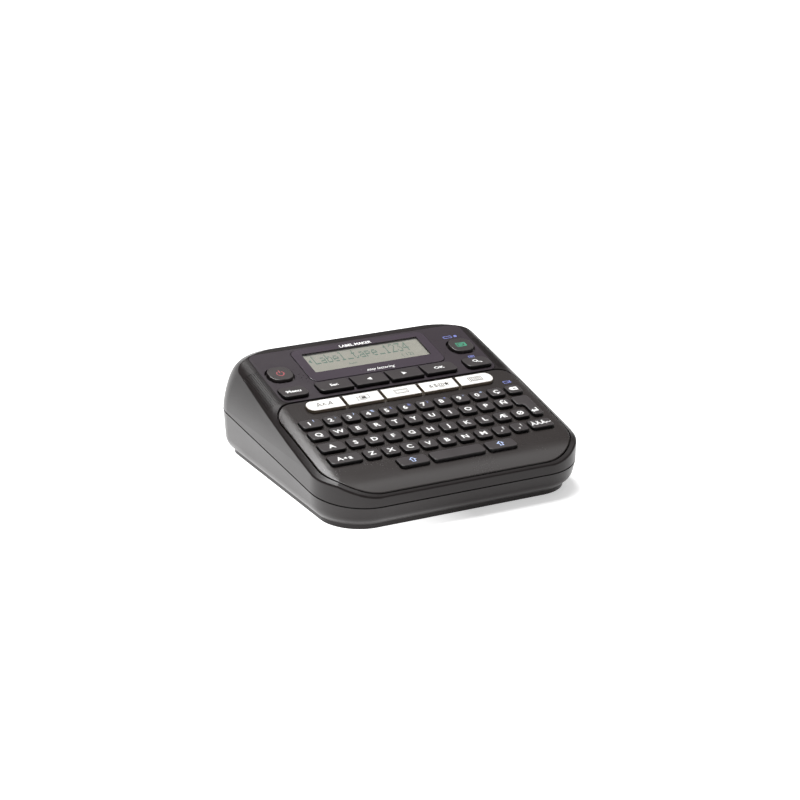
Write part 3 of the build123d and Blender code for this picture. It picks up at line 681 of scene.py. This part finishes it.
word_on("esc_key", "Esc", 2.5, y=-0.2)
word_on("ok_key", "OK", 2.5, y=-0.2, wide=1.1)
word_on("menu_key", "Menu", 2.5, y=-0.2, wide=1.1)
word_on("accent_key", "\u00c0\u00c4\u00c5~", 3.0, wide=1.08)
word_on("caps_key", "A", CAPITAL, x=-3.1)
word_on("caps_key", "a", CAPITAL, x=3.0)
left_arrow = [(-1.5, 0), (1.3, 1.6), (1.3, -1.6)]
right_arrow = [(1.5, 0), (-1.3, -1.6), (-1.3, 1.6)]
figure([left_arrow], single_tops["left_key"], "left_key", "white", y=-0.1)
figure([right_arrow], single_tops["right_key"], "right_key", "white", y=-0.1)
figure([left_arrow], single_tops["caps_key"], "caps_key", "white", y=-0.1, size=0.66)

shift_outer = [
    (0, 2.3), (2.3, 0.1), (1.1, 0.1), (1.1, -2.2), (-1.1, -2.2), (-1.1, 0.1), (-2.3, 0.1),
]
shift_inner = [
    (0, 1.5), (1.2, 0.6), (0.6, 0.6), (0.6, -1.7), (-0.6, -1.7), (-0.6, 0.6), (-1.2, 0.6),
]
for node, place in shift_tops.items():
    figure([shift_outer, shift_inner], place, node, "pale_blue", y=0.3)
print(len(single_tops), "single keys and", len(shift_tops), "shift keys found")

# %% [markdown]
# The symbols of the dark keys are white, red or green. A shape that is open inside, such as the
# cross in the backspace sign, is a second outline within the first.

# %% Symbols on dark keys
cross_hole = [
    (1.7, 0.9), (1.0, 0.3), (1.7, -0.5), (1.3, -0.9), (0.6, -0.2), (-0.1, -0.9),
    (-0.5, -0.5), (0.2, 0.3), (-0.5, 0.9), (-0.1, 1.3), (0.6, 0.7),
]
backspace = [(-3.2, 0.2), (-1.5, 2.1), (2.7, 2.1), (2.7, -1.7), (-1.5, -1.7)]
backspace_place = single_tops["backspace_key"]
figure([backspace, cross_hole], backspace_place, "backspace_key", "white", size=0.92)

enter_arrow = [
    (-2.4, -0.7), (-0.8, 0.9), (-0.8, 0.0), (1.2, 0.0), (1.2, 2.0),
    (2.0, 2.0), (2.0, -1.4), (-0.8, -1.4), (-0.8, -2.3),
]
figure([enter_arrow], single_tops["enter_key"], "enter_key", "white", x=1.3, y=-5.4)

glass_ring, glass_hole = (arc(radius, 0, 360, 28)[:-1] for radius in (1.55, 0.95))
handle = [(0.9, -1.4), (1.4, -0.9), (3.5, -2.2), (2.9, -2.9)]
find_place = single_tops["find_key"]
figure([glass_ring, glass_hole], find_place, "find_key", "white", x=-0.6, y=0.7)
figure([handle], find_place, "find_key", "white", x=-0.6, y=0.7)

power_ring = arc(2.3, 125, 415, 34) + arc(1.75, 415, 125, 34)
power_bar = rectangle(-0.3, 0.3, 0.4, 3.0)
for outline in (power_ring, power_bar):
    figure([outline], single_tops["power_key"], "power_key", "red", y=-0.3)

page = frame_shape(-2.9, 2.3, -1.9, 1.9, 0.42)
text_lines = [(-1.9, 1.4, 0.5, 0.95), (-1.9, 1.4, -0.3, 0.15), (-1.9, 0.4, -1.1, -0.65)]
page_edge = (2.55, 3.1, -1.9, 1.9)
for outlines in [page] + [[rectangle(*sides)] for sides in text_lines + [page_edge]]:
    figure(outlines, single_tops["print_key"], "print_key", "green")
print("dark keys printed")

# %% [markdown]
# The light keys carry grey symbols: upright and slanted letters, two overlapping frames, a
# label, signs with a star, and a sheet of small fields.

# %% Symbols on light keys
font_place = single_tops["font_key"]
for height, x, slant in ((3.4, -3.4, 0.0), (2.4, -0.4, 0.0), (3.4, 3.0, 0.25)):
    lettering("A", height, font_place, "font_key", "grey", x=x, y=0.1, slant=slant)

frame_place = single_tops["frame_key"]
figure(frame_shape(-3.9, 1.6, -1.9, 1.1, 0.3), frame_place, "frame_key", "grey")
figure(frame_shape(-1.9, 3.9, -1.0, 2.0, 0.3), frame_place, "frame_key", "grey")
figure([rectangle(-0.9, 1.4, -0.7, 0.8)], frame_place, "frame_key", "grey")

label_place = single_tops["label_key"]
figure(frame_shape(-4.1, 4.1, -1.8, 1.8, 0.32), label_place, "label_key", "grey")
figure(frame_shape(-3.3, 3.3, -1.1, 1.1, 0.22), label_place, "label_key", "grey")

symbol_place = single_tops["symbol_key"]
for letter, x in (("&", -4.9), ("$", -1.9), ("@", 1.3)):
    lettering(letter, 2.9, symbol_place, "symbol_key", "grey", x=x)
star = []
for tip in range(90, 450, 72):
    notch = tip + 36
    star += arc(1.9, tip, tip, 1)[:1] + arc(0.8, notch, notch, 1)[:1]
figure([star], symbol_place, "symbol_key", "grey", x=4.9)

template_place = single_tops["template_key"]
figure(frame_shape(-4.3, 4.3, -1.9, 1.9, 0.32), template_place, "template_key", "grey")
for y in (1.0 - line * 1.05 for line in range(3)):
    for x in (-3.4 + column * 1.2 for column in range(6)):
        field = rectangle(x, x + 0.8, y - 0.35, y + 0.25)
        figure([field], template_place, "template_key", "grey")
print("light keys printed")

# %% [markdown]
# ## Print on the deck
# Small blue symbols above three keys show what they do together with a shift key. The display
# frame has plain lettering above and below the window. Places on the deck are found from the
# middle of the display window, whose distance up the slope is known.

# %% Deck print
WINDOW_MIDDLE = 88.3  # How far the window's middle lies up the slope, in millimetres
WINDOW_DEPTH = 0.4  # How far the window lies under the deck plane
FRAME_LIFT = 0.35  # How far the display frame stands over the deck plane


def deck_place(across, along, lift=0.0):
    """A place on the deck in millimetres: to the right, up the slope, and over its plane."""
    origin = top_place("display_window").translation.copy()
    up_slope, over = along - WINDOW_MIDDLE, lift + WINDOW_DEPTH
    place = origin + (deck_up * up_slope + deck_normal * over) * MM
    place.x = across * MM
    return print_place(place, deck_normal)


spots = [deck_place(56.2, 92.6), deck_place(57.6, 70.9), deck_place(63.6, 42.3)]
figure(frame_shape(-2.7, 2.7, -1.1, 1.1, 0.4), spots[0], "housing", "blue", x=-2.2)
figure([arc(1.0, 0, 360, 18)[:-1]], spots[0], "housing", "blue", x=2.9)
figure(frame_shape(-1.9, 1.9, -1.1, 1.1, 0.4), spots[1], "housing", "blue")
figure([rectangle(-0.9, 0.9, -0.3, 0.3)], spots[1], "housing", "blue")
figure(frame_shape(-1.7, 1.7, -1.1, 1.1, 0.4), spots[2], "housing", "blue")
figure([rectangle(2.1, 3.0, -1.1, 1.1)], spots[2], "housing", "blue")
title_place = deck_place(-1.8, 99.4, FRAME_LIFT)
lettering("LABEL MAKER", 2.1, title_place, "housing", "white", weight=0.09, wide=1.05)
line_place = deck_place(1.0, 73.9, FRAME_LIFT)
lettering("easy lettering", 2.2, line_place, "housing", "white", weight=0.02, slant=0.35)
print("deck printed")

# %% [markdown]
# ## Characters on the display
# A liquid crystal character is a grid of five by seven dots. Every letter is seven numbers whose
# five bits are the dots of one line. The dots are small flat rectangles on the reflector.

# %% Display characters
dots_of = {
    "L": (16, 16, 16, 16, 16, 16, 31),
    "a": (0, 0, 14, 1, 15, 17, 15),
    "b": (16, 16, 22, 25, 17, 17, 30),
    "e": (0, 0, 14, 17, 31, 16, 14),
    "l": (12, 4, 4, 4, 4, 4, 14),
    "t": (8, 8, 28, 8, 8, 9, 6),
    "p": (0, 0, 30, 17, 30, 16, 16),
    "_": (0, 0, 0, 0, 0, 0, 31),
    "1": (4, 12, 4, 4, 4, 4, 14),
    "2": (14, 17, 1, 2, 4, 8, 31),
    "3": (31, 2, 4, 2, 1, 17, 14),
    "4": (2, 6, 10, 18, 31, 2, 2),
}
crystal_place = top_place("lcd_panel")
WIDE, HIGH = 5, 7  # Dots in a character
DOT_WIDTH, DOT_HEIGHT = 0.88, 0.9  # A dot's share of the pitch of the columns and lines


def dot_text(text, left, low, column, line):
    """The dots of a text, as rectangles in millimetres."""
    cells = []
    for number, letter in enumerate(text):
        for row, bits in enumerate(dots_of[letter]):
            for bit in range(WIDE):
                if bits >> (WIDE - 1 - bit) & 1:
                    x = left + (number * (WIDE + 1) + bit) * column
                    y = low + (HIGH - 1 - row) * line
                    cells.append(rectangle(x, x + column * DOT_WIDTH, y, y + line * DOT_HEIGHT))
    return cells


dots = dot_text("Label_tape_1234", left=-31.3, low=-0.6, column=0.667, line=1.2)
figure(dots, crystal_place, "housing", "crystal")
figure([[(-34.6, 2.9), (-32.8, 4.6), (-32.8, 1.2)]], crystal_place, "housing", "crystal")
lettering("Auto", 1.7, crystal_place, "housing", "crystal", x=-10.6, y=-4.3)
lettering("( 12)", 2.8, crystal_place, "housing", "crystal", x=24.0, y=-4.0)
print(len(dots), "dots on the display")

# %% [markdown]
# ## One piece for each body and ink
# A printed legend is joined with its neighbours of the same colour, so that the part keeps a
# short list of pieces that ride on the right bodies.

# %% Join the print
for (body, colour), pieces in printed.items():
    bpy.ops.object.select_all(action="DESELECT")
    for piece in pieces:
        piece.select_set(True)
    bpy.context.view_layer.objects.active = pieces[0]
    if len(pieces) > 1:
        bpy.ops.object.join()
    joined = pieces[0]
    joined.name = f"{body}_print_{colour}"
    joined.data.materials.clear()
    joined.data.materials.append(inks[colour])
    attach(joined, body)
print(len(printed), "printed pieces")

# %% [markdown]
# ## Studio
# The object stands on a plain pale table. The paper itself glows a little, and most in a patch
# to the left of the object. That keeps the table white without flooding the dark case with
# light.

# %% Floor
FLOOR_SIZE = 6.0  # In metres
GLOW_LEFT = 0.12  # How far to the left of the object the glow is centred, in metres
GLOW_SQUEEZE = 0.5  # What a distance to the front or rear counts, against one to the side
GLOW_NEAR, GLOW_FAR = 0.05, 0.13  # Distances, in metres, between which the glow fades
GLOW_BRIGHT, GLOW_DIM = (1.0, 1.0, 1.0, 1), (0.30, 0.30, 0.30, 1)
GLOW_STRENGTH = 1.7
bpy.ops.mesh.primitive_plane_add(size=FLOOR_SIZE, location=(0, 0, 0))
floor = bpy.context.view_layer.objects.active
floor.name = "studio_floor"
paper = Finish("studio_paper")
fibres = paper.noise(3.0, 3.0)
paper.coat(paper.blend(fibres, (0.83, 0.83, 0.83, 1), (0.86, 0.86, 0.86, 1)), 0.9 + fibres * 0.05)
across = paper.axis("X") + GLOW_LEFT
along_table = paper.axis("Y") * GLOW_SQUEEZE
squared = across * across + along_table * along_table
away = squared.sum("POWER", squared, 0.5)
fade = {"Value": away, "From Min": GLOW_NEAR, "From Max": GLOW_FAR}
far = paper.node("ShaderNodeMapRange", {"clamp": True}, fade)
paper.feed(paper.shader.inputs["Emission Color"], paper.blend(far, GLOW_BRIGHT, GLOW_DIM))
paper.shader.inputs["Emission Strength"].default_value = GLOW_STRENGTH
floor.data.materials.append(paper.material)
print("floor", floor.name, "is", FLOOR_SIZE, "m wide")

# %% [markdown]
# One soft light hangs over the object and puts a sheen on the keys and on the deck. A weak one
# hangs to the right, and a low wide strip stands behind on the right, for the satin surfaces
# to reflect. The air round them is dim, so that the dark plastic keeps its depth.

# %% Lights
AIR_STRENGTH = 0.16
scene = bpy.context.scene
scene.world = bpy.data.worlds.new("studio_air")
scene.world.use_nodes = True
air = scene.world.node_tree.nodes["Background"].inputs
air["Color"].default_value = (1.0, 1.0, 1.0, 1)
air["Strength"].default_value = AIR_STRENGTH


def soft_light(name, place, aim, size, power):
    """A rectangular light at a place, in metres, turned to its aim."""
    lamp = bpy.data.lights.new(name, "AREA")
    lamp.shape = "RECTANGLE"
    lamp.size, lamp.size_y = size
    lamp.energy = power
    light = bpy.data.objects.new(name, lamp)
    scene.collection.objects.link(light)
    light.location = place
    light.rotation_euler = (Vector(aim) - Vector(place)).to_track_quat("-Z", "Y").to_euler()
    print(name, "gives", power, "W")


soft_light("overhead_light", (0.0, 0.3, 1.2), aim=(0, 0.05, 0.0), size=(0.55, 0.55), power=21.0)
soft_light("right_ceiling", (0.66, 0.02, 1.2), aim=(0, 0, 0.0), size=(0.6, 0.6), power=1.5)
soft_light("horizon_strip", (0.85, 1.2, 0.1), aim=(0, 0, 0.05), size=(1.8, 0.3), power=2.4)
scene.view_settings.view_transform = "Standard"

# %% [markdown]
# ## Camera
# A long lens from the front left, a little above, shows the keys and the display with little
# perspective. Its place follows from the point it looks at, two angles and a distance, and it
# leans a little about its own axis.

# %% Camera
FOCAL_LENGTH, SENSOR_WIDTH = 104.3, 36.0
AIM = Vector((5.9, 11.4, 34.5)) * MM
AZIMUTH, ELEVATION, ROLL = radians(-29.54), radians(20.41), radians(1.53)
DISTANCE = 1268.9 * MM
backward = Vector((sin(AZIMUTH) * cos(ELEVATION), -cos(AZIMUTH) * cos(ELEVATION), sin(ELEVATION)))
level_right = Vector((cos(AZIMUTH), sin(AZIMUTH), 0))
level_up = backward.cross(level_right)
right = cos(ROLL) * level_right + sin(ROLL) * level_up
upward = cos(ROLL) * level_up - sin(ROLL) * level_right
lens = bpy.data.cameras.new("studio_camera")
lens.lens = FOCAL_LENGTH
lens.sensor_width = SENSOR_WIDTH
camera = bpy.data.objects.new("studio_camera", lens)
scene.collection.objects.link(camera)
turned = Matrix((right, upward, backward)).transposed().to_4x4()
camera.matrix_world = Matrix.Translation(AIM + backward * DISTANCE) @ turned
scene.camera = camera
print("camera at", [round(v, 3) for v in camera.matrix_world.translation])
